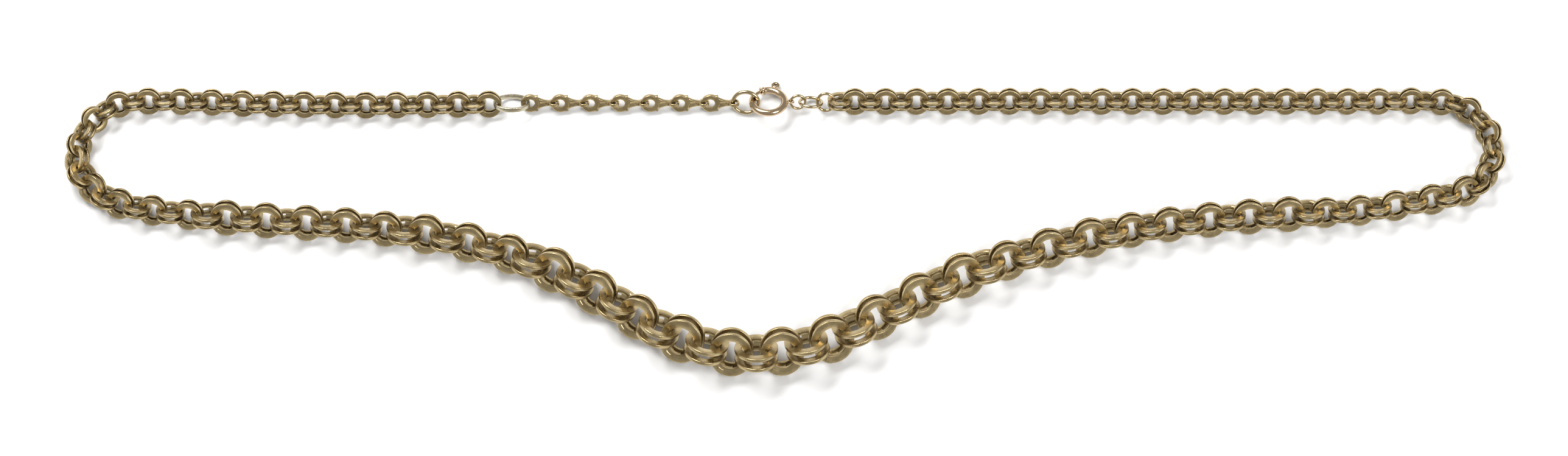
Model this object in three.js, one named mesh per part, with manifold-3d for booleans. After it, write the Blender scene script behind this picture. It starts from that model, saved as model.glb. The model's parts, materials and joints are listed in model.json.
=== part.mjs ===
// A clasped, graduated double-ring watch chain lying flat as a long loop.
// Millimetres, +X along the loop, +Y away from the largest links, +Z up, the ground at Z = 0.
// The run of links starts beside the extension, goes left along the back row, round the left
// bend, along the front row through the largest links, round the right bend and back to the clasp.

import * as THREE from 'three';
import { mergeVertices } from 'three/addons/utils/BufferGeometryUtils.js';
import Module from 'manifold-3d';

const wasm = await Module();
wasm.setup();

// ---------------------------------------------------------------- driving dimensions

// Pitch of each size of link, from the six steps of the graduation.
const SIZE_STEPS = [
  { reach: 4.5, pitch: 4.15 },
  { reach: 11, pitch: 3.93 },
  { reach: 17, pitch: 3.55 },
  { reach: 27, pitch: 3.22 },
  { reach: 36, pitch: 2.84 },
  { reach: 1000, pitch: 2.53 },
];
const SMALLEST_PITCH = 2.53;
const LARGEST_PITCH = 4.15;
const CENTRE_LINK = 64;
const LINK_COUNT = 148;

// A link's section and hole, as fractions of its pitch. Two of them grow with the link.
const HOLE_HALF_LENGTH = 0.572;
const RIM = 0.25;
const HOLE_HALF_WIDTH = [0.625, 0.718];
const BAND_WIDTH = [0.47, 0.6];
const ROLL = Math.PI / 4;
const RING_SIDES = 8;
const SLOPE_LIFT = 0.071;

// Links in each segment, from the extension's end to the clasp's end.
const SEGMENT_SIZES = [
  4, 4, 4, 4, 4, 4,
  2, 2, 2, 2, 2,
  4, 4, 4,
  3, 3, 3, 3, 3, 3, 3, 3, 3, 3, 3, 3,
  4, 4, 4, 5,
  2, 2, 2, 2, 2,
  4, 4, 4, 4, 4, 4, 4, 4, 4, 3,
];

// The line through the links' contacts, seen from above, point by point along the run.
const ROUTE = [
  [-48.9, 20.4], [-63.9, 20.1], [-78.9, 20.2], [-94.1, 20.5], [-104.2, 20.9], [-109.3, 20.5],
  [-112.0, 19.3], [-114.3, 17.1], [-115.8, 14.9], [-116.5, 12.5], [-116.4, 9.9], [-115.4, 7.5],
  [-113.7, 5.6], [-111.5, 4.2], [-109.0, 3.1], [-104.1, 2.1], [-92.2, 0.7], [-79.3, -0.15],
  [-66.5, -1.1], [-52.6, -3.4], [-38.6, -7.9], [-25.1, -15.4], [-18.0, -19.6], [-10.7, -21.9],
  [-2.3, -22.4], [5.7, -20.6], [13.5, -17.0], [27.6, -9.8], [41.8, -4.9], [55.5, -1.6],
  [68.3, 0.2], [81.2, 1.2], [93.5, 2.0], [104.8, 3.4], [110.1, 4.8], [112.9, 6.1],
  [115.0, 7.9], [116.3, 10.1], [116.7, 12.5], [116.2, 15.0], [114.9, 17.3], [112.9, 19.2],
  [110.6, 20.35], [108.2, 20.75], [103.3, 20.75], [88.1, 20.75], [57.4, 20.75], [26.8, 20.75],
  [9.1, 20.7],
];

// The extension's row of links, which starts with a round head at the oval ring.
const EXTENSION_LINKS = 7;
const EXTENSION_PITCH = 4.96;
const EXTENSION_HEIGHT = 1.55;
const FIRST_HEAD_X = -42.1;
const ROW_Y = 20.6;

// Brings the middle of the loop's own box over the origin.
const CENTRING = [0.09, 0.85, 0];

const GOLD = { color: 0x9c8450, roughness: 0.32, metalness: 1 };
const ROSE_GOLD = { color: 0xa98b62, roughness: 0.22, metalness: 1 };
const PALE_GOLD = { color: 0xc9c0a0, roughness: 0.3, metalness: 1 };
const STEEL = { color: 0x6d675c, roughness: 0.4, metalness: 1 };

// ---------------------------------------------------------------- solids and frames

const UP = new THREE.Vector3(0, 0, 1);

function material(look) {
  return new THREE.MeshStandardMaterial(look);
}

function toSolid(geometry) {
  const bare = new THREE.BufferGeometry();
  bare.setAttribute('position', geometry.getAttribute('position'));
  if (geometry.index) bare.setIndex(geometry.index);
  const merged = mergeVertices(bare, 1e-4);
  return new wasm.Manifold(new wasm.Mesh({
    numProp: 3,
    vertProperties: new Float32Array(merged.getAttribute('position').array),
    triVerts: new Uint32Array(merged.index.array),
  }));
}

function toGeometry(solid) {
  const mesh = solid.getMesh();
  const geometry = new THREE.BufferGeometry();
  geometry.setAttribute('position', new THREE.BufferAttribute(mesh.vertProperties, 3));
  geometry.setIndex(new THREE.BufferAttribute(mesh.triVerts, 1));
  geometry.computeVertexNormals();
  return geometry;
}

function join(geometries) {
  const solids = geometries.map(toSolid);
  return toGeometry(solids.slice(1).reduce((whole, solid) => whole.add(solid), solids[0]));
}

function namedMesh(name, geometry, look) {
  const mesh = new THREE.Mesh(geometry, material(look));
  mesh.name = name;
  return mesh;
}

// A many-sided oval with flat sides on its two axes, half a side away from them.
function ovalPath(target, halfLength, halfWidth, sides) {
  const reach = 1 / Math.cos(Math.PI / sides);
  for (let i = 0; i < sides; i += 1) {
    const angle = ((i + 0.5) * 2 * Math.PI) / sides;
    const x = halfLength * reach * Math.cos(angle);
    const y = halfWidth * reach * Math.sin(angle);
    if (i === 0) target.moveTo(x, y);
    else target.lineTo(x, y);
  }
  target.closePath();
  return target;
}

// A flat-sided ring: its hole along X and Y, its rim's radial thickness, its width along Z.
function bandRing(holeHalfLength, holeHalfWidth, rim, width, sides = RING_SIDES) {
  const shape = ovalPath(new THREE.Shape(), holeHalfLength + rim, holeHalfWidth + rim, sides);
  shape.holes.push(ovalPath(new THREE.Path(), holeHalfLength, holeHalfWidth, sides));
  const geometry = new THREE.ExtrudeGeometry(shape, { depth: width, bevelEnabled: false });
  return geometry.translate(0, 0, -width / 2);
}

// The frame of a piece on the line: X along the chain, Y across the ring, Z its normal.
// A roll of +45 degrees lifts the piece's left side, and -45 degrees its right side.
function frameAlong(direction, roll) {
  const along = direction.clone().normalize();
  const left = new THREE.Vector3().crossVectors(UP, along).normalize();
  const top = new THREE.Vector3().crossVectors(along, left);
  const across = left.multiplyScalar(Math.cos(roll)).addScaledVector(top, Math.sin(roll));
  const normal = new THREE.Vector3().crossVectors(along, across);
  return new THREE.Matrix4().makeBasis(along, across, normal);
}

// ---------------------------------------------------------------- the graduated run

function linkPitch(index) {
  const steps = Math.abs(index - CENTRE_LINK);
  return SIZE_STEPS.find((size) => steps < size.reach).pitch;
}

function linkSection(pitch) {
  const growth = (pitch - SMALLEST_PITCH) / (LARGEST_PITCH - SMALLEST_PITCH);
  const blend = ([small, large]) => small + (large - small) * growth;
  return {
    holeHalfLength: HOLE_HALF_LENGTH * pitch,
    holeHalfWidth: blend(HOLE_HALF_WIDTH) * pitch,
    rim: RIM * pitch,
    width: blend(BAND_WIDTH) * pitch,
  };
}

// A link rolled 45 degrees stands on one corner of its rim. The lift is for links on a slope.
function linkHeight(pitch) {
  const section = linkSection(pitch);
  const cornerReach = section.holeHalfWidth + section.rim + section.width / 2;
  return cornerReach * Math.sin(ROLL) + SLOPE_LIFT;
}

const route = new THREE.CatmullRomCurve3(
  ROUTE.map(([x, y]) => new THREE.Vector3(x, y, 0)), false, 'centripetal',
);
route.arcLengthDivisions = 4000;

// Centres of the links, spaced by their pitches and stretched evenly to fill the route.
function placeLinks() {
  const marks = [0];
  for (let i = 1; i < LINK_COUNT; i += 1) {
    marks.push(marks[i - 1] + (linkPitch(i - 1) + linkPitch(i)) / 2);
  }
  const total = marks[LINK_COUNT - 1];
  return marks.map((mark, i) => {
    const point = route.getPointAt(mark / total);
    point.z = linkHeight(linkPitch(i));
    return point;
  });
}

const centres = placeLinks();

function contactAfter(index) {
  const here = linkPitch(index);
  const next = linkPitch(index + 1);
  return centres[index].clone().lerp(centres[index + 1], here / (here + next));
}

function linkDirection(index) {
  const from = index > 0 ? contactAfter(index - 1) : centres[0];
  const to = index < LINK_COUNT - 1 ? contactAfter(index) : centres[LINK_COUNT - 1];
  return to.clone().sub(from);
}

// Neighbouring links are rolled 45 degrees either way, so their planes are square.
function linkGeometry(index, origin) {
  const section = linkSection(linkPitch(index));
  const roll = index % 2 === 0 ? -ROLL : ROLL;
  const place = frameAlong(linkDirection(index), roll);
  place.setPosition(centres[index].clone().sub(origin));
  const ring = bandRing(section.holeHalfLength, section.holeHalfWidth, section.rim, section.width);
  return ring.applyMatrix4(place);
}

// The short bridge that makes one body of two links where they bear on each other.
function bearingGeometry(index, origin) {
  const pitch = Math.min(linkPitch(index), linkPitch(index + 1));
  const bridge = new THREE.BoxGeometry(0.34 * pitch, 0.2 * pitch, 0.2 * pitch);
  const place = frameAlong(centres[index + 1].clone().sub(centres[index]), 0);
  place.setPosition(contactAfter(index).sub(origin));
  return bridge.applyMatrix4(place);
}

// One segment stands at its pivot, the contact nearer to the middle of the chain.
function segmentMesh(number, first, last) {
  const middle = (first + last) / 2;
  const towardsClasp = middle > CENTRE_LINK;
  let pivot = centres[CENTRE_LINK];
  if (middle < CENTRE_LINK && last < CENTRE_LINK) pivot = contactAfter(last);
  if (towardsClasp && first > CENTRE_LINK) pivot = contactAfter(first - 1);
  const pieces = [];
  for (let i = first; i <= last; i += 1) pieces.push(linkGeometry(i, pivot));
  for (let i = first; i < last; i += 1) pieces.push(bearingGeometry(i, pivot));
  const name = `chain_segment_${String(number).padStart(2, '0')}`;
  const mesh = namedMesh(name, join(pieces), GOLD);
  mesh.position.copy(pivot);
  return mesh;
}

function chainRun() {
  const run = new THREE.Group();
  let first = 0;
  SEGMENT_SIZES.forEach((size, i) => {
    run.add(segmentMesh(i + 1, first, first + size - 1));
    first += size;
  });
  return run;
}

// ---------------------------------------------------------------- extension and jump rings

// Head ring, tapering shank and a small eye at right angles to the head, in one casting.
const HEAD = { hole: 0.78, rim: 0.8, width: 0.8 };
const SHANK = { from: 1.45, to: 3.45, wide: 1.5, narrow: 0.95, thick: 0.8 };
const EYE = { centre: 3.86, holeHalfLength: 0.62, holeHalfWidth: 0.72, rim: 0.34, width: 0.6 };

function extensionGeometry() {
  const head = bandRing(HEAD.hole, HEAD.hole, HEAD.rim, HEAD.width, 12);
  const outline = new THREE.Shape();
  outline.moveTo(SHANK.from, -SHANK.wide / 2);
  outline.lineTo(SHANK.to, -SHANK.narrow / 2);
  outline.lineTo(SHANK.to, SHANK.narrow / 2);
  outline.lineTo(SHANK.from, SHANK.wide / 2);
  outline.closePath();
  const shank = new THREE.ExtrudeGeometry(outline, { depth: SHANK.thick, bevelEnabled: false });
  shank.translate(0, 0, -SHANK.thick / 2);
  const eye = bandRing(EYE.holeHalfLength, EYE.holeHalfWidth, EYE.rim, EYE.width);
  eye.rotateX(Math.PI / 2);
  eye.translate(EYE.centre, 0, 0);
  const bore = new THREE.BoxGeometry(2 * EYE.holeHalfLength, 2, 2 * EYE.holeHalfWidth);
  bore.translate(EYE.centre, 0, 0);
  const joined = toSolid(head).add(toSolid(shank)).subtract(toSolid(bore)).add(toSolid(eye));
  return toGeometry(joined);
}

function extensionRun() {
  const run = new THREE.Group();
  const along = new THREE.Vector3(1, 0, 0);
  for (let i = 0; i < EXTENSION_LINKS; i += 1) {
    const mesh = namedMesh(`extension_link_${i + 1}`, extensionGeometry(), GOLD);
    const centre = new THREE.Vector3(FIRST_HEAD_X + i * EXTENSION_PITCH, ROW_Y, EXTENSION_HEIGHT);
    const place = frameAlong(along, ROLL).setPosition(centre);
    place.decompose(mesh.position, mesh.quaternion, mesh.scale);
    run.add(mesh);
  }
  return run;
}

// Plain rings that couple the clasp and the extension to the run. Roll +45 lifts the +Y side.
const LOOSE_RINGS = [
  {
    name: 'oval_jump_ring', from: [-48.2, 20.4, 2.0], to: [-42.1, ROW_Y, 1.6],
    halfWidth: 2.17, rim: 0.45, width: 0.8, roll: -0.66, look: PALE_GOLD,
  },
  {
    name: 'end_jump_ring', from: [-8.9, ROW_Y, 1.65], to: [-4.1, ROW_Y, 2.2],
    halfWidth: 2.25, rim: 0.62, width: 0.62, roll: ROLL, look: GOLD,
  },
  {
    name: 'clasp_ring_round', from: [0.7, ROW_Y, 2.3], to: [3.5, ROW_Y, 1.95],
    halfWidth: 1.4, rim: 0.38, width: 0.38, roll: ROLL, look: GOLD,
  },
  {
    name: 'clasp_ring_oval', from: [2.15, ROW_Y, 2.1], to: [6.3, ROW_Y, 1.85],
    halfWidth: 1.9, rim: 0.5, width: 0.6, roll: -ROLL, look: GOLD,
  },
  {
    name: 'clasp_ring_large', from: [5.05, ROW_Y, 1.9], to: [8.35, 20.65, 2.05],
    halfWidth: 1.85, rim: 0.45, width: 0.45, roll: ROLL, look: GOLD,
  },
];

function looseRing({ name, from, to, halfWidth, rim, width, roll, look }) {
  const start = new THREE.Vector3(...from);
  const end = new THREE.Vector3(...to);
  const halfLength = start.distanceTo(end) / 2;
  const ring = bandRing(halfLength - rim, halfWidth - rim, rim, width, 12);
  const mesh = namedMesh(name, ring, look);
  const place = frameAlong(end.clone().sub(start), roll);
  place.setPosition(start.lerp(end, 0.5));
  place.decompose(mesh.position, mesh.quaternion, mesh.scale);
  return mesh;
}

function looseRings() {
  const rings = new THREE.Group();
  LOOSE_RINGS.forEach((ring) => rings.add(looseRing(ring)));
  return rings;
}

// ---------------------------------------------------------------- bolt ring

// A hollow ring of tube with a mouth, closed by a curved bolt that a spring pushes out.
// Angles run anticlockwise from +X in the ring's own plane, seen from above.
const CLASP = {
  centre: [-2.75, ROW_Y, 2.35], tilt: -0.5, radius: 2.68, tube: 0.52, bore: 0.36,
  mouth: 118, socket: 152, boreEnd: -40, slotFrom: 34, slotTo: 80, slotWidth: 0.34,
};
const BOLT = { radius: 0.27, tail: 62, tip: 148, knobAt: 73, knobReach: 4.0 };
const SPRING = { from: 29, to: 59, coil: 0.2, wire: 0.07, turns: 7 };

const radians = (degrees) => (degrees * Math.PI) / 180;

function arcCurve(radius, from, to) {
  const curve = new THREE.Curve();
  curve.getPoint = (t, target = new THREE.Vector3()) => {
    const angle = radians(from + (to - from) * t);
    return target.set(radius * Math.cos(angle), radius * Math.sin(angle), 0);
  };
  return curve;
}

function roundSection(radius, sides) {
  const shape = new THREE.Shape();
  for (let i = 0; i < sides; i += 1) {
    const angle = ((i + 0.5) * 2 * Math.PI) / sides;
    const point = [radius * Math.cos(angle), radius * Math.sin(angle)];
    if (i === 0) shape.moveTo(...point);
    else shape.lineTo(...point);
  }
  shape.closePath();
  return shape;
}

function sweptArc(tubeRadius, from, to, stepDegrees = 12, sides = 8) {
  const steps = Math.ceil(Math.abs(to - from) / stepDegrees);
  const path = arcCurve(CLASP.radius, from, to);
  const options = { steps, extrudePath: path, bevelEnabled: false };
  return new THREE.ExtrudeGeometry(roundSection(tubeRadius, sides), options);
}

function atAngle(geometry, angle, radius) {
  geometry.translate(radius, 0, 0);
  return geometry.rotateZ(radians(angle));
}

function claspBody() {
  const turn = CLASP.socket - 360;
  const tube = toSolid(sweptArc(CLASP.tube, turn, CLASP.mouth));
  const collar = toSolid(sweptArc(CLASP.tube + 0.22, CLASP.mouth - 9, CLASP.mouth, 4.5));
  const eye = new THREE.TorusGeometry(0.5, 0.13, 6, 12);
  eye.rotateX(-ROLL - CLASP.tilt);
  eye.translate(3.62, 0, 0);
  const bore = toSolid(sweptArc(CLASP.bore, CLASP.boreEnd, CLASP.mouth + 2));
  const socket = toSolid(sweptArc(CLASP.bore, CLASP.socket - 8 - 360, CLASP.socket - 358));
  const slotAngle = CLASP.slotTo - CLASP.slotFrom;
  const wall = new THREE.Shape();
  wall.absarc(0, 0, CLASP.radius + 1, radians(CLASP.slotFrom), radians(CLASP.slotTo), false);
  wall.absarc(0, 0, CLASP.radius, radians(CLASP.slotTo), radians(CLASP.slotFrom), true);
  wall.closePath();
  const cutter = new THREE.ExtrudeGeometry(wall, {
    depth: CLASP.slotWidth, bevelEnabled: false, curveSegments: Math.ceil(slotAngle / 12),
  });
  cutter.translate(0, 0, -CLASP.slotWidth / 2);
  const shell = tube.add(collar).add(toSolid(eye));
  return toGeometry(shell.subtract(bore).subtract(socket).subtract(toSolid(cutter)));
}

// The bolt's thumb-piece: a stalk through the slot with a drilled knob on it.
function claspBolt() {
  const rod = toSolid(sweptArc(BOLT.radius, BOLT.tail, BOLT.tip));
  const stalk = new THREE.BoxGeometry(BOLT.knobReach - CLASP.radius, 0.5, 0.2);
  atAngle(stalk, BOLT.knobAt, (BOLT.knobReach + CLASP.radius) / 2 - 0.1);
  const knob = new THREE.TorusGeometry(0.42, 0.24, 6, 10);
  atAngle(knob, BOLT.knobAt, BOLT.knobReach);
  return toGeometry(rod.add(toSolid(stalk)).add(toSolid(knob)));
}

function claspSpring() {
  const coil = new THREE.Curve();
  coil.getPoint = (t, target = new THREE.Vector3()) => {
    const angle = radians(SPRING.from + (SPRING.to - SPRING.from) * t);
    const turn = 2 * Math.PI * SPRING.turns * t;
    const radius = CLASP.radius + SPRING.coil * Math.cos(turn);
    return target.set(
      radius * Math.cos(angle), radius * Math.sin(angle), SPRING.coil * Math.sin(turn),
    );
  };
  const options = { steps: SPRING.turns * 8, extrudePath: coil, bevelEnabled: false };
  return new THREE.ExtrudeGeometry(roundSection(SPRING.wire, 4), options);
}

function boltRing() {
  const clasp = new THREE.Group();
  clasp.add(namedMesh('bolt_ring_tube', claspBody(), ROSE_GOLD));
  clasp.add(namedMesh('bolt_ring_bolt', claspBolt(), ROSE_GOLD));
  clasp.add(namedMesh('bolt_ring_spring', claspSpring(), STEEL));
  clasp.position.set(...CLASP.centre);
  clasp.rotation.x = CLASP.tilt;
  return clasp;
}

// ---------------------------------------------------------------- the whole chain

const watchChain = new THREE.Group();
watchChain.add(chainRun(), looseRings(), extensionRun(), boltRing());
watchChain.position.set(...CENTRING);

export default watchChain;
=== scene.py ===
"""A clasped, graduated double-ring watch chain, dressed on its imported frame.

Every place comes from the frame: the links lie between the contact hinges of the run, and
the clasp and the extension stand where their CAD nodes stand. Working units are millimetres.
"""
import json
import math
import random

import bmesh
import bpy
from mathutils import Matrix, Vector, noise

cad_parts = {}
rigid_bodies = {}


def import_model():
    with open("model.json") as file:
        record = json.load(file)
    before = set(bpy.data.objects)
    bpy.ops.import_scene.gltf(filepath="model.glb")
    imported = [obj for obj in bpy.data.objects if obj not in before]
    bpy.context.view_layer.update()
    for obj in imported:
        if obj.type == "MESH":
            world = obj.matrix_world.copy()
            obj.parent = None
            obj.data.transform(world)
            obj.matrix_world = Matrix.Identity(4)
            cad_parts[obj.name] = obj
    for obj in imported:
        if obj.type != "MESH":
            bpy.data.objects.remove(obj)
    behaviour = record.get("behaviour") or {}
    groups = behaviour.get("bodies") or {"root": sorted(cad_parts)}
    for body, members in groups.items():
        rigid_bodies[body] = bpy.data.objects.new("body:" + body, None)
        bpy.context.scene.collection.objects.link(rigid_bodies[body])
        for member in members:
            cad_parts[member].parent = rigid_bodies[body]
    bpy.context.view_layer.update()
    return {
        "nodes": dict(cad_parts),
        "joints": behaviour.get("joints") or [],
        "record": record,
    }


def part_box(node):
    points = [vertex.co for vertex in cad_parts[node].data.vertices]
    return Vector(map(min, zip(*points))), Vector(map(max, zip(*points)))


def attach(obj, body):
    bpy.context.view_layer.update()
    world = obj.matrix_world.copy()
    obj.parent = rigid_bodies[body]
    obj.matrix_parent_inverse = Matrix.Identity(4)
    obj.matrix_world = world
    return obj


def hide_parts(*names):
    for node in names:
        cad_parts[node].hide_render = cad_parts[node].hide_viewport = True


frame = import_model()

MM = 0.001
UP = Vector((0, 0, 1))
ROLL = math.radians(45)

# The graduation: links this many places from the largest one have this pitch.
SIZE_STEPS = [(4.5, 4.15), (11, 3.93), (17, 3.55), (27, 3.22), (36, 2.84), (1000, 2.53)]
SMALLEST_PITCH = SIZE_STEPS[-1][1]
LARGEST_PITCH = SIZE_STEPS[0][1]
CENTRE_LINK = 64

# Links on each chain_segment node, in order along the run.
SEGMENT_SIZES = [4] * 6 + [2] * 5 + [4] * 3 + [3] * 12 + [4] * 3 + [5] + [2] * 5 + [4] * 9 + [3]

# A link's shape as fractions of its pitch: [smallest link, largest link].
HOLE_HALF_LENGTH = [0.572, 0.572]
HOLE_HALF_WIDTH = [0.55, 0.63]
RIM_END = [0.25, 0.285]
RIM_SIDE = [0.325, 0.335]
RING_SPACING = [0.37, 0.44]
RING_THICKNESS = [0.15, 0.15]

# Where a link's bar starts, where its saddle starts and where both end, in degrees from the
# low point of the link.
BAR_ANGLES = (-8, 20, 40)

BODIES = frame["record"]["behaviour"]["bodies"]
BODY_OF = {node: body for body, nodes in BODIES.items() for node in nodes}

random.seed(1887)


# ---------------------------------------------------------------- frames and shells


def frame_along(direction, roll, origin):
    """X along the chain, Y across the ring, Z its normal; +45 degrees lifts the left side."""
    along = direction.normalized()
    left = UP.cross(along).normalized()
    top = along.cross(left)
    across = left * math.cos(roll) + top * math.sin(roll)
    normal = along.cross(across)
    matrix = Matrix((along, across, normal)).transposed().to_4x4()
    matrix.translation = origin
    return matrix


def sweep(bm, sections, closed_path):
    """Joins rings of points into a tube; every section has the same number of points."""
    loops = [[bm.verts.new(point * MM) for point in section] for section in sections]
    count = len(loops[0])
    pairs = list(zip(loops, loops[1:]))
    if closed_path:
        pairs.append((loops[-1], loops[0]))
    for one, two in pairs:
        for i in range(count):
            j = (i + 1) % count
            bm.faces.new((one[i], one[j], two[j], two[i]))
    if not closed_path:
        bm.faces.new(list(reversed(loops[0])))
        bm.faces.new(loops[-1])


# Points on each rounded corner of a strip, outside and at the hole.
OUTER_ROUND_STEPS = 5
INNER_ROUND_STEPS = 3


def strip_profile(thickness, outer_round, inner_round):
    """A flat strip's section: (share of the rim from hole to outside, height, bulge)."""
    half = thickness / 2
    points = []
    corners = ((1, outer_round, OUTER_ROUND_STEPS), (0, inner_round, INNER_ROUND_STEPS))
    for edge, radius, steps in corners:
        for side in (-1, 1) if edge == 1 else (1, -1):
            for k in range(steps):
                turn = (k / (steps - 1)) * math.pi / 2
                if (side == -1) == (edge == 1):
                    along, across = math.sin(turn), math.cos(turn)
                else:
                    along, across = math.cos(turn), math.sin(turn)
                inset = radius * (1 - along)
                height = side * (half - radius * (1 - across))
                points.append((edge, inset if edge == 0 else -inset, height))
    return points


# Radius of the circle through the noise that gives a ring's edges their drift.
WOBBLE_SCALE = 1.7


def oval_ring(
    bm, place, hole, rim, profile, offset=0.0, steps=56, wobble=0.0, seed=0.0, flare=None,
):
    """A ring of strip round an oval hole: hole and rim are (along X, along Y) in mm."""
    sections = []
    for k in range(steps):
        angle = 2 * math.pi * k / steps
        c, s = math.cos(angle), math.sin(angle)
        inner = Vector((hole[0] * c, hole[1] * s, 0))
        outer = Vector(((hole[0] + rim[0]) * c, (hole[1] + rim[1]) * s, 0))
        out = (outer - inner).normalized()
        spot = Vector((c * WOBBLE_SCALE + seed, s * WOBBLE_SCALE, seed))
        drift = wobble * noise.noise(spot)
        if flare:
            outer += out * flare(angle)
        section = []
        for edge, inset, height in profile:
            base = outer if edge else inner
            point = base + out * (inset + drift)
            point.z = height + offset
            section.append(place @ point)
        sections.append(section)
    sweep(bm, sections, closed_path=True)


# An arc block's bevel, as a share of its depth or half height, whichever is less.
BLOCK_BEVEL = 0.16


def arc_block(bm, place, hole, rim, arc, radial, half_height, steps):
    """A squared block bent along the ring: radial is (from, to) as shares of the rim."""
    sections = []
    for k in range(steps + 1):
        angle = arc[0] + (arc[1] - arc[0]) * k / steps
        c, s = math.cos(angle), math.sin(angle)
        inner = Vector((hole[0] * c, hole[1] * s, 0))
        outer = Vector(((hole[0] + rim[0]) * c, (hole[1] + rim[1]) * s, 0))
        low = inner.lerp(outer, radial[0])
        high = inner.lerp(outer, radial[1])
        bevel = BLOCK_BEVEL * min((high - low).length, half_height)
        out = (high - low).normalized()
        corners = [
            (low + out * bevel, -half_height), (high - out * bevel, -half_height),
            (high, -half_height + bevel), (high, half_height - bevel),
            (high - out * bevel, half_height), (low + out * bevel, half_height),
            (low, half_height - bevel), (low, -half_height + bevel),
        ]
        section = []
        for base, height in corners:
            point = base.copy()
            point.z = height
            section.append(place @ point)
        sections.append(section)
    sweep(bm, sections, closed_path=False)


def finish_piece(bm, name, body, material, nodes, smooth_angle=40):
    """Turns the built shells into a piece that rides on a body and stands for its nodes."""
    bmesh.ops.recalc_face_normals(bm, faces=bm.faces)
    mesh = bpy.data.meshes.new(name)
    bm.to_mesh(mesh)
    bm.free()
    piece = bpy.data.objects.new(name, mesh)
    bpy.context.scene.collection.objects.link(piece)
    mesh.materials.append(material)
    mesh.shade_smooth()
    mesh.set_sharp_from_angle(angle=math.radians(smooth_angle))
    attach(piece, body)
    if nodes:
        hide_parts(*nodes)
    return piece


# ---------------------------------------------------------------- materials


def node_tree(name):
    material = bpy.data.materials.new(name)
    material.use_nodes = True
    nodes = material.node_tree.nodes
    shader = nodes["Principled BSDF"]
    return material, nodes, material.node_tree.links, shader


# Noise scale, detail and roughness. The scales are in cycles to the metre.
CLOUD_NOISE = (420, 5, 0.6)
SMUDGE_NOISE = (900, 4, 0.65)
PIT_NOISE = (2600, 6, 0.7)

# Reach of the test for recesses, which get painted shade, and depth of the pits, both in metres.
RECESS_REACH = 0.0016
RECESS_SAMPLES = 8
PIT_DEPTH = 0.00004


def noise_node(nodes, links, coordinates, scale, detail, roughness):
    texture = nodes.new("ShaderNodeTexNoise")
    texture.inputs["Scale"].default_value = scale
    texture.inputs["Detail"].default_value = detail
    texture.inputs["Roughness"].default_value = roughness
    links.new(coordinates, texture.inputs["Vector"])
    return texture.outputs["Fac"]


def ramp_node(nodes, links, source, stops):
    ramp = nodes.new("ShaderNodeValToRGB")
    elements = ramp.color_ramp.elements
    while len(elements) < len(stops):
        elements.new(0.5)
    for element, (position, colour) in zip(elements, stops):
        element.position = position
        element.color = (*colour, 1)
    links.new(source, ramp.inputs["Fac"])
    return ramp.outputs["Color"]


def grey(value):
    return (value, value, value)


def mix_colour(nodes, links, factor, first, second):
    mix = nodes.new("ShaderNodeMix")
    mix.data_type = "RGBA"
    links.new(factor, mix.inputs["Factor"])
    for socket, value in ((mix.inputs["A"], first), (mix.inputs["B"], second)):
        if isinstance(value, tuple):
            socket.default_value = (*value, 1)
        else:
            links.new(value, socket)
    return mix.outputs["Result"]


def gold_material(name, light, mid, shade_colour, rough, shade_strength, bump):
    """Worn metal: cloudy tone, painted shade darkening the recesses, brighter worn edges and fine
    pits.
    """
    material, nodes, links, shader = node_tree(name)
    coordinates = nodes.new("ShaderNodeTexCoord").outputs["Object"]
    clouds = noise_node(nodes, links, coordinates, *CLOUD_NOISE)
    tone = ramp_node(nodes, links, clouds, [(0.32, mid), (0.68, light)])

    # Painted shade: where other metal is near, the colour is pulled towards a near-black shade
    # colour.
    recess = nodes.new("ShaderNodeAmbientOcclusion")
    recess.samples = RECESS_SAMPLES
    recess.inputs["Distance"].default_value = RECESS_REACH
    shade_mask = ramp_node(nodes, links, recess.outputs["AO"], [(0.15, grey(shade_strength)), (0.7, grey(0))])
    shaded_tone = mix_colour(nodes, links, shade_mask, tone, shade_colour)

    edges = nodes.new("ShaderNodeNewGeometry").outputs["Pointiness"]
    worn = ramp_node(nodes, links, edges, [(0.52, grey(0)), (0.6, grey(0.6))])
    colour = mix_colour(nodes, links, worn, shaded_tone, light)
    links.new(colour, shader.inputs["Base Color"])

    shader.inputs["Metallic"].default_value = 1.0
    smudges = noise_node(nodes, links, coordinates, *SMUDGE_NOISE)
    gloss = ramp_node(nodes, links, smudges, [(0.3, grey(rough[0])), (0.72, grey(rough[1]))])
    links.new(gloss, shader.inputs["Roughness"])

    pits = noise_node(nodes, links, coordinates, *PIT_NOISE)
    surface = nodes.new("ShaderNodeBump")
    surface.inputs["Strength"].default_value = bump
    surface.inputs["Distance"].default_value = PIT_DEPTH
    links.new(pits, surface.inputs["Height"])
    links.new(surface.outputs["Normal"], shader.inputs["Normal"])
    return material


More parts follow.
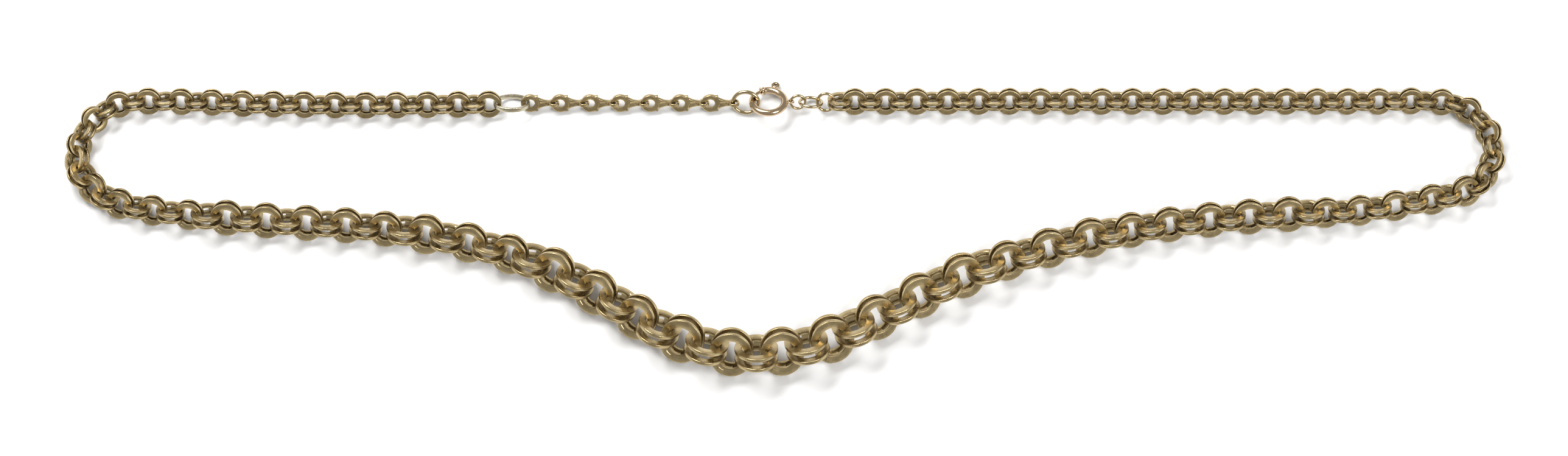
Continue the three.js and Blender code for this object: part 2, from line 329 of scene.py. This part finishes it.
# Each metal's arguments: light and mid tones, the painted shade colour for recesses, roughness
# range, strength of that painted shade, bump.
CHAIN_GOLD = gold_material(
    "antique_gold", (0.56, 0.44, 0.235), (0.36, 0.275, 0.14), (0.045, 0.034, 0.018),
    (0.2, 0.4), 1.0, 0.5,
)
RING_GOLD = gold_material(
    "wire_gold", (0.58, 0.47, 0.28), (0.44, 0.34, 0.19), (0.055, 0.04, 0.022),
    (0.14, 0.26), 0.8, 0.2,
)
CLASP_GOLD = gold_material(
    "clasp_gold", (0.64, 0.49, 0.32), (0.52, 0.39, 0.24), (0.07, 0.045, 0.025),
    (0.12, 0.22), 0.7, 0.15,
)
PALE_GOLD = gold_material(
    "pale_gold", (0.62, 0.57, 0.43), (0.42, 0.38, 0.27), (0.07, 0.06, 0.04),
    (0.2, 0.36), 0.9, 0.6,
)
SPRING_STEEL = gold_material(
    "spring_steel", (0.36, 0.34, 0.31), (0.24, 0.22, 0.2), (0.03, 0.025, 0.02),
    (0.3, 0.45), 0.6, 0.2,
)


# ---------------------------------------------------------------- the run of links


# A link ring's corners and drift, as shares of its thickness, and its points round.
LINK_ROUNDS = (0.2, 0.16)
LINK_WOBBLE = 0.05
LINK_STEPS = 56
LINK_SEED_STEP = 3.7

# A bar and its saddle: how far they reach across the rim, from the hole to the outside.
BAR_REACH = (0.25, 0.93)
SADDLE_REACH = (0.2, 1.05)
SADDLE_PROUD = 0.1
BAR_STEPS = 8
SADDLE_STEPS = 4
BAR_SHIFT = 0.07


def link_pitch(index):
    steps = abs(index - CENTRE_LINK)
    return next(pitch for reach, pitch in SIZE_STEPS if steps < reach)


def sized(pair, pitch):
    growth = (pitch - SMALLEST_PITCH) / (LARGEST_PITCH - SMALLEST_PITCH)
    return (pair[0] + (pair[1] - pair[0]) * growth) * pitch


def link_height(pitch):
    """A link rolled 45 degrees stands on one corner of its lower ring."""
    reach = sized(HOLE_HALF_WIDTH, pitch) + sized(RIM_SIDE, pitch)
    half_width = (sized(RING_SPACING, pitch) + sized(RING_THICKNESS, pitch)) / 2
    return (reach + half_width) * math.sin(ROLL)


def segment_name(number):
    return f"chain_segment_{number:02d}"


def segment_contact(number):
    """Where a segment bears on the next one: their hinge, or the middle of their overlap."""
    pair = {BODY_OF[segment_name(number)], BODY_OF[segment_name(number + 1)]}
    for joint in frame["joints"]:
        if {joint["parent"], joint["child"]} == pair:
            return Vector(joint["pos_m"]) / MM
    (low_a, high_a), (low_b, high_b) = (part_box(segment_name(number + i)) for i in range(2))
    low = Vector(map(max, low_a, low_b))
    high = Vector(map(min, high_a, high_b))
    return (low + high) / 2 / MM


def run_knots():
    """The contacts between segments, with the two ends of the run added."""
    knots = [segment_contact(i + 1) for i in range(len(SEGMENT_SIZES) - 1)]
    first = 2 * knots[0] - knots[1]
    last_step = (knots[-1] - knots[-2]) * SEGMENT_SIZES[-1] / SEGMENT_SIZES[-2]
    return [first] + knots + [knots[-1] + last_step]


def spline_point(before, start, end, after, share):
    """Catmull-Rom between start and end."""
    a = 2 * start
    b = end - before
    c = 2 * before - 5 * start + 4 * end - after
    d = 3 * start - before - 3 * end + after
    return (a + b * share + c * share ** 2 + d * share ** 3) / 2


def link_centres():
    knots = run_knots()
    centres = []
    index = 0
    for k, count in enumerate(SEGMENT_SIZES):
        start, end = knots[k], knots[k + 1]
        before = knots[k - 1] if k else 2 * start - end
        after = knots[k + 2] if k + 2 < len(knots) else 2 * end - start
        pitches = [link_pitch(index + i) for i in range(count)]
        total = sum(pitches)
        passed = 0
        for pitch in pitches:
            point = spline_point(before, start, end, after, (passed + pitch / 2) / total)
            point.z = link_height(pitch)
            centres.append(point)
            passed += pitch
        index += count
    return centres


CENTRES = link_centres()


def link_direction(index):
    before = CENTRES[max(index - 1, 0)]
    after = CENTRES[min(index + 1, len(CENTRES) - 1)]
    return after - before


def add_link(bm, index):
    """Two thin rings side by side, and the soldered bar that holds them apart."""
    pitch = link_pitch(index)
    roll = -ROLL if index % 2 == 0 else ROLL
    place = frame_along(link_direction(index), roll, CENTRES[index])
    hole = (sized(HOLE_HALF_LENGTH, pitch), sized(HOLE_HALF_WIDTH, pitch))
    rim = (sized(RIM_END, pitch), sized(RIM_SIDE, pitch))
    spacing = sized(RING_SPACING, pitch)
    thickness = sized(RING_THICKNESS, pitch)
    profile = strip_profile(thickness, *(share * thickness for share in LINK_ROUNDS))
    wobble = LINK_WOBBLE * thickness
    for side in (-1, 1):
        seed = index * LINK_SEED_STEP + side
        offset = side * spacing / 2
        oval_ring(bm, place, hole, rim, profile, offset, LINK_STEPS, wobble, seed)
    add_bar(bm, place, index, hole, rim, spacing, thickness)


def add_bar(bm, place, index, hole, rim, spacing, thickness):
    """The bar that fills the gap on the low side of the link and ends in a squared saddle."""
    low = -math.pi / 2 if place.col[1].z > 0 else math.pi / 2
    forward = 1 if index % 2 == 0 else -1
    turn = -forward if low > 0 else forward
    shift = random.uniform(-BAR_SHIFT, BAR_SHIFT)
    start, step, end = (low + turn * (math.radians(v) + shift) for v in BAR_ANGLES)
    arc_block(bm, place, hole, rim, (start, end), BAR_REACH, spacing / 2, BAR_STEPS)
    proud = (spacing + thickness) / 2 + SADDLE_PROUD * thickness
    arc_block(bm, place, hole, rim, (step, end), SADDLE_REACH, proud, SADDLE_STEPS)


def build_run():
    first = 0
    for k, count in enumerate(SEGMENT_SIZES):
        bm = bmesh.new()
        for index in range(first, first + count):
            add_link(bm, index)
        node = segment_name(k + 1)
        finish_piece(bm, f"links_{k + 1:02d}", BODY_OF[node], CHAIN_GOLD, [node])
        first += count


build_run()


# ---------------------------------------------------------------- loose rings

# half length, half width, rim, width, roll in radians, rise from end to end in mm
LOOSE_RINGS = {
    "end_jump_ring": (2.45, 2.28, 0.68, 0.68, ROLL, 0.55),
    "clasp_ring_round": (1.45, 1.44, 0.47, 0.47, ROLL, -0.35),
    "clasp_ring_oval": (2.08, 1.9, 0.52, 0.54, -ROLL, -0.25),
    "clasp_ring_large": (1.66, 1.86, 0.52, 0.52, ROLL, 0.15),
}


LOOSE_RING_STEPS = 72
LOOSE_RING_WOBBLE = 0.02
WIRE_SMOOTH_ANGLE = 60

# The oval strip ring: lengths in mm, and its roll in radians.
STRIP_DIRECTION = Vector((6.1, 0.2, -0.4))
STRIP_ROLL = -0.66
STRIP_HOLE = (2.62, 1.75)
STRIP_RIM = 0.42
STRIP_WIDTH = 0.8
STRIP_ROUNDS = (0.12, 0.08)
STRIP_WOBBLE = 0.05
STRIP_STEPS = 96
STRIP_SEED = 4.2


def box_centre(node):
    low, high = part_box(node)
    return (low + high) / 2 / MM


def wire_profile(radius_in_rim, radius_across, sides=16):
    """A round wire's section in the form that oval_ring takes: inner base, inset, height."""
    points = []
    for k in range(sides):
        angle = 2 * math.pi * k / sides
        inset = radius_in_rim * (1 - math.cos(angle))
        points.append((0, inset, radius_across * math.sin(angle)))
    return points


def build_loose_rings():
    for name, (half_length, half_width, rim, width, roll, rise) in LOOSE_RINGS.items():
        bm = bmesh.new()
        place = frame_along(Vector((2 * half_length, 0, rise)), roll, box_centre(name))
        hole = (half_length - rim, half_width - rim)
        profile = wire_profile(rim / 2, width / 2)
        oval_ring(
            bm, place, hole, (rim, rim), profile, 0.0, LOOSE_RING_STEPS, LOOSE_RING_WOBBLE,
            len(name),
        )
        finish_piece(
            bm, f"{name}_wire", BODY_OF[name], RING_GOLD, [name], WIRE_SMOOTH_ANGLE,
        )


def build_oval_strip():
    """The pale ring: a thin flat strip on edge, with slightly uneven edges."""
    node = "oval_jump_ring"
    bm = bmesh.new()
    place = frame_along(STRIP_DIRECTION, STRIP_ROLL, box_centre(node))
    profile = strip_profile(STRIP_WIDTH, *STRIP_ROUNDS)
    rim = (STRIP_RIM, STRIP_RIM)
    oval_ring(
        bm, place, STRIP_HOLE, rim, profile, 0.0, STRIP_STEPS, STRIP_WOBBLE, STRIP_SEED,
    )
    finish_piece(bm, "oval_strip", BODY_OF[node], PALE_GOLD, [node])


# ---------------------------------------------------------------- extension links

EXTENSION_LINKS = 7

# The head ring, its centre from the node's left end, and its ears, in mm and degrees.
HEAD_HOLE = 0.76
HEAD_RIM = 0.8
HEAD_WIDTH = 0.76
HEAD_ROUNDS = (0.2, 0.16)
HEAD_STEPS = 120
HEAD_WOBBLE = 0.02
HEAD_CENTRE = 1.58
EAR_HEIGHT = 0.36
EAR_ANGLE = 48
EAR_SPREAD = 7.5

# The small eye at the shank's end, from the head's centre, in mm.
EYE_CENTRE = 3.86
EYE_HOLE = (0.62, 0.72)
EYE_RIM = (0.32, 0.32)
EYE_WIDTH = 0.56
EYE_ROUNDS = (0.12, 0.12)
EYE_STEPS = 40
EYE_WOBBLE = 0.02

# Along the shank, in mm: distance from the head's centre, half width and half thickness,
# then the crease's depth as a share of the half thickness.
SHANK_STATIONS = [
    (0.8, 0.98, 0.34, 0.1), (1.15, 1.12, 0.37, 0.3), (1.5, 0.98, 0.38, 0.45),
    (1.85, 0.78, 0.39, 0.55), (2.2, 0.64, 0.4, 0.55), (2.6, 0.53, 0.4, 0.5),
    (3.1, 0.47, 0.4, 0.35), (3.42, 0.45, 0.38, 0.2),
]
SHANK_SIDES = 20
SHANK_SQUARENESS = (0.55, 0.6)
CREASE_SPREAD = 0.3


def loft(bm, place, sections):
    placed = [[place @ point for point in section] for section in sections]
    sweep(bm, placed, closed_path=False)


def shank_section(x, half_width, half_thick, groove):
    """Two rounded strips side by side, with a crease between them on both faces."""
    points = []
    for k in range(SHANK_SIDES):
        angle = 2 * math.pi * k / SHANK_SIDES
        c, s = math.cos(angle), math.sin(angle)
        y = half_width * math.copysign(abs(c) ** SHANK_SQUARENESS[0], c)
        z = half_thick * math.copysign(abs(s) ** SHANK_SQUARENESS[1], s)
        crease = groove * math.exp(-((y / (CREASE_SPREAD * half_width)) ** 2))
        points.append(Vector((x, y, z * (1 - crease))))
    return points


def shoulder(angle):
    """The squared ears where the head's strip folds into the shank."""
    away = abs(math.degrees(angle) - (360 if angle > math.pi else 0))
    return EAR_HEIGHT * math.exp(-(((away - EAR_ANGLE) / EAR_SPREAD) ** 2))


def build_extension_link(node):
    centre = box_centre(node)
    centre.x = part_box(node)[0].x / MM + HEAD_CENTRE
    place = frame_along(Vector((1, 0, 0)), ROLL, centre)
    bm = bmesh.new()
    profile = strip_profile(HEAD_WIDTH, *HEAD_ROUNDS)
    hole, rim = (HEAD_HOLE, HEAD_HOLE), (HEAD_RIM, HEAD_RIM)
    oval_ring(bm, place, hole, rim, profile, 0.0, HEAD_STEPS, HEAD_WOBBLE, 0.0, shoulder)
    loft(bm, place, [shank_section(*station) for station in SHANK_STATIONS])
    eye = place @ Matrix.Translation((EYE_CENTRE, 0, 0)) @ Matrix.Rotation(math.pi / 2, 4, "X")
    eye_profile = strip_profile(EYE_WIDTH, *EYE_ROUNDS)
    oval_ring(bm, eye, EYE_HOLE, EYE_RIM, eye_profile, 0.0, EYE_STEPS, EYE_WOBBLE)
    finish_piece(bm, f"{node}_trumpet", BODY_OF[node], CHAIN_GOLD, [node])


# ---------------------------------------------------------------- bolt ring

# Lengths are in mm, and angles in degrees round the ring, but the eye's turn is in radians.
# A bead is its angle, its height and its spread.
TUBE_PATH = 2.66
TUBE_RADIUS = 0.58
BORE_RADIUS = 0.4
MOUTH, SOCKET, BORE_END = 118, 152 - 360, 30
BEADS = ((117, 0.17, 2.2), (107, 0.15, 2.4))
TUBE_STEPS = 150
TUBE_SIDES = 28
TUBE_SMOOTH_ANGLE = 50
BORE_STEP = 8
BORE_INSET = 0.5
SOCKET_STATIONS = (7, 0.3)
SOCKET_WALL = 0.9

TUBE_EYE_CENTRE = 3.66
TUBE_EYE_TURN = 0.5 - ROLL
TUBE_EYE_HOLE = 0.36
TUBE_EYE_RIM = 0.27
TUBE_EYE_STEPS = 40

BOLT_RADIUS = 0.27
BOLT_ARC = (62, 148)
BOLT_STEPS = 32
BOLT_SIDES = 20
BOLT_TIPS = (0.8, 0.6)
BOLT_TIP_ARC = 0.5
KNOB_ANGLE, KNOB_REACH = 73, 3.98
KNOB_HOLE = 0.21
KNOB_RIM = 0.49
KNOB_WIDTH = 0.48
KNOB_ROUNDS = (0.18, 0.12)
KNOB_STEPS = 48

# The stalk from the rod to the knob: distance from the knob's centre and half width.
STALK_STATIONS = ((-1.25, 0.2), (-0.7, 0.2), (-0.4, 0.26), (-0.25, 0.3))
STALK_HALF_HEIGHT = 0.1


def clasp_place():
    mount = next(m for m in frame["record"]["mounts"] if m["name"] == "bolt_ring_mouth")
    normal = Vector(mount["axis"]).normalized()
    across = normal.cross(Vector((1, 0, 0))).normalized()
    matrix = Matrix((across.cross(normal), across, normal)).transposed().to_4x4()
    matrix.translation = Vector(mount["pos_m"]) / MM
    return matrix


def arc_section(place, degrees, radius, sides):
    angle = math.radians(degrees)
    out = Vector((math.cos(angle), math.sin(angle), 0))
    points = []
    for k in range(sides):
        turn = 2 * math.pi * k / sides
        offset = out * math.cos(turn) + Vector((0, 0, 1)) * math.sin(turn)
        points.append(place @ (out * TUBE_PATH + offset * radius))
    return points


def tube_radius(degrees):
    swell = sum(height * math.exp(-(((degrees - at) / wide) ** 2)) for at, height, wide in BEADS)
    ease = min(1.0, (degrees - SOCKET) / 3)
    return TUBE_RADIUS * (0.93 + 0.07 * ease) + swell


def build_bolt_ring():
    place = clasp_place()
    bm = bmesh.new()
    socket_radius = BORE_RADIUS * SOCKET_WALL
    sections = [
        arc_section(place, SOCKET + depth, socket_radius, TUBE_SIDES) for depth in SOCKET_STATIONS
    ]
    for k in range(TUBE_STEPS + 1):
        degrees = SOCKET + (MOUTH - SOCKET) * k / TUBE_STEPS
        sections.append(arc_section(place, degrees, tube_radius(degrees), TUBE_SIDES))
    for degrees in range(MOUTH, BORE_END, -BORE_STEP):
        sections.append(arc_section(place, degrees - BORE_INSET, BORE_RADIUS, TUBE_SIDES))
    sweep(bm, sections, closed_path=False)
    eye = place @ Matrix.Translation((TUBE_EYE_CENTRE, 0, 0))
    eye = eye @ Matrix.Rotation(TUBE_EYE_TURN, 4, "X")
    hole, rim = (TUBE_EYE_HOLE, TUBE_EYE_HOLE), (TUBE_EYE_RIM, TUBE_EYE_RIM)
    profile = wire_profile(TUBE_EYE_RIM / 2, TUBE_EYE_RIM / 2)
    oval_ring(bm, eye, hole, rim, profile, 0.0, TUBE_EYE_STEPS)
    node = "bolt_ring_tube"
    finish_piece(
        bm, "bolt_ring_shell", BODY_OF[node], CLASP_GOLD, [node],
        TUBE_SMOOTH_ANGLE,
    )


def build_bolt():
    place = clasp_place()
    bm = bmesh.new()
    start, end = BOLT_ARC
    sections = [arc_section(place, start, BOLT_TIPS[0] * BOLT_RADIUS, BOLT_SIDES)]
    for k in range(BOLT_STEPS + 1):
        full_arc = end - start - 2 * BOLT_TIP_ARC
        degrees = start + BOLT_TIP_ARC + full_arc * k / BOLT_STEPS
        sections.append(arc_section(place, degrees, BOLT_RADIUS, BOLT_SIDES))
    sections.append(arc_section(place, end, BOLT_TIPS[1] * BOLT_RADIUS, BOLT_SIDES))
    sweep(bm, sections, closed_path=False)
    knob = place @ Matrix.Rotation(math.radians(KNOB_ANGLE), 4, "Z")
    knob = knob @ Matrix.Translation((KNOB_REACH, 0, 0))
    hole, rim = (KNOB_HOLE, KNOB_HOLE), (KNOB_RIM, KNOB_RIM)
    profile = strip_profile(KNOB_WIDTH, *KNOB_ROUNDS)
    oval_ring(bm, knob, hole, rim, profile, 0.0, KNOB_STEPS)
    h = STALK_HALF_HEIGHT
    stalk = [
        [Vector((x, y, z)) for y, z in ((-w, -h), (w, -h), (w, h), (-w, h))]
        for x, w in STALK_STATIONS
    ]
    loft(bm, knob, stalk)
    node = "bolt_ring_bolt"
    finish_piece(bm, "bolt_rod", BODY_OF[node], CLASP_GOLD, [node])


def build_clasp_side():
    build_loose_rings()
    build_oval_strip()
    for number in range(1, EXTENSION_LINKS + 1):
        build_extension_link(f"extension_link_{number}")
    build_bolt_ring()
    build_bolt()
    spring = frame["nodes"]["bolt_ring_spring"]
    spring.data.materials.clear()
    spring.data.materials.append(SPRING_STEEL)


build_clasp_side()


# ---------------------------------------------------------------- camera, floor and light

ELEVATION = math.radians(75)
FRAME_WIDTH = 0.2576
LENS = 100.0
SENSOR = 36.0
TARGET = Vector((-0.0001, 0.0005, 0.0))
CLIP_START = 0.01

FLOOR_HALF_SIZE = 1.5
FLOOR_GREY = 0.93
FLOOR_ROUGHNESS = 0.9
WORLD_STRENGTH = 0.4

# Each light's place in metres, its size in metres and its power in watts.
KEY_LIGHT = ((-0.25, 0.32, 0.55), (0.45, 0.2), 4.2)
FILL_LIGHT = ((0.42, -0.2, 0.6), (0.3, 0.3), 2.6)


def build_camera():
    data = bpy.data.cameras.new("camera")
    data.lens = LENS
    data.sensor_width = SENSOR
    data.clip_start = CLIP_START
    camera = bpy.data.objects.new("camera", data)
    bpy.context.scene.collection.objects.link(camera)
    distance = FRAME_WIDTH * LENS / SENSOR
    offset = Vector((0, -math.cos(ELEVATION), math.sin(ELEVATION))) * distance
    camera.location = TARGET + offset
    camera.rotation_euler = (math.pi / 2 - ELEVATION, 0, 0)
    bpy.context.scene.camera = camera


def build_floor():
    bm = bmesh.new()
    bmesh.ops.create_grid(bm, x_segments=1, y_segments=1, size=FLOOR_HALF_SIZE)
    mesh = bpy.data.meshes.new("floor")
    bm.to_mesh(mesh)
    bm.free()
    floor = bpy.data.objects.new("floor", mesh)
    bpy.context.scene.collection.objects.link(floor)
    material, _, _, shader = node_tree("floor_white")
    shader.inputs["Base Color"].default_value = (*grey(FLOOR_GREY), 1)
    shader.inputs["Roughness"].default_value = FLOOR_ROUGHNESS
    mesh.materials.append(material)


def area_light(name, place, size, power):
    data = bpy.data.lights.new(name, "AREA")
    data.shape = "RECTANGLE"
    data.size, data.size_y = size
    data.energy = power
    light = bpy.data.objects.new(name, data)
    light.location = place
    light.rotation_euler = (Vector(place) * -1).to_track_quat("-Z", "Y").to_euler()
    bpy.context.scene.collection.objects.link(light)


def build_light():
    world = bpy.data.worlds.new("studio")
    world.use_nodes = True
    background = world.node_tree.nodes["Background"]
    background.inputs["Color"].default_value = (1, 1, 1, 1)
    background.inputs["Strength"].default_value = WORLD_STRENGTH
    bpy.context.scene.world = world
    area_light("key", *KEY_LIGHT)
    area_light("fill", *FILL_LIGHT)
    bpy.context.scene.view_settings.view_transform = "Standard"


build_camera()
build_floor()
build_light()
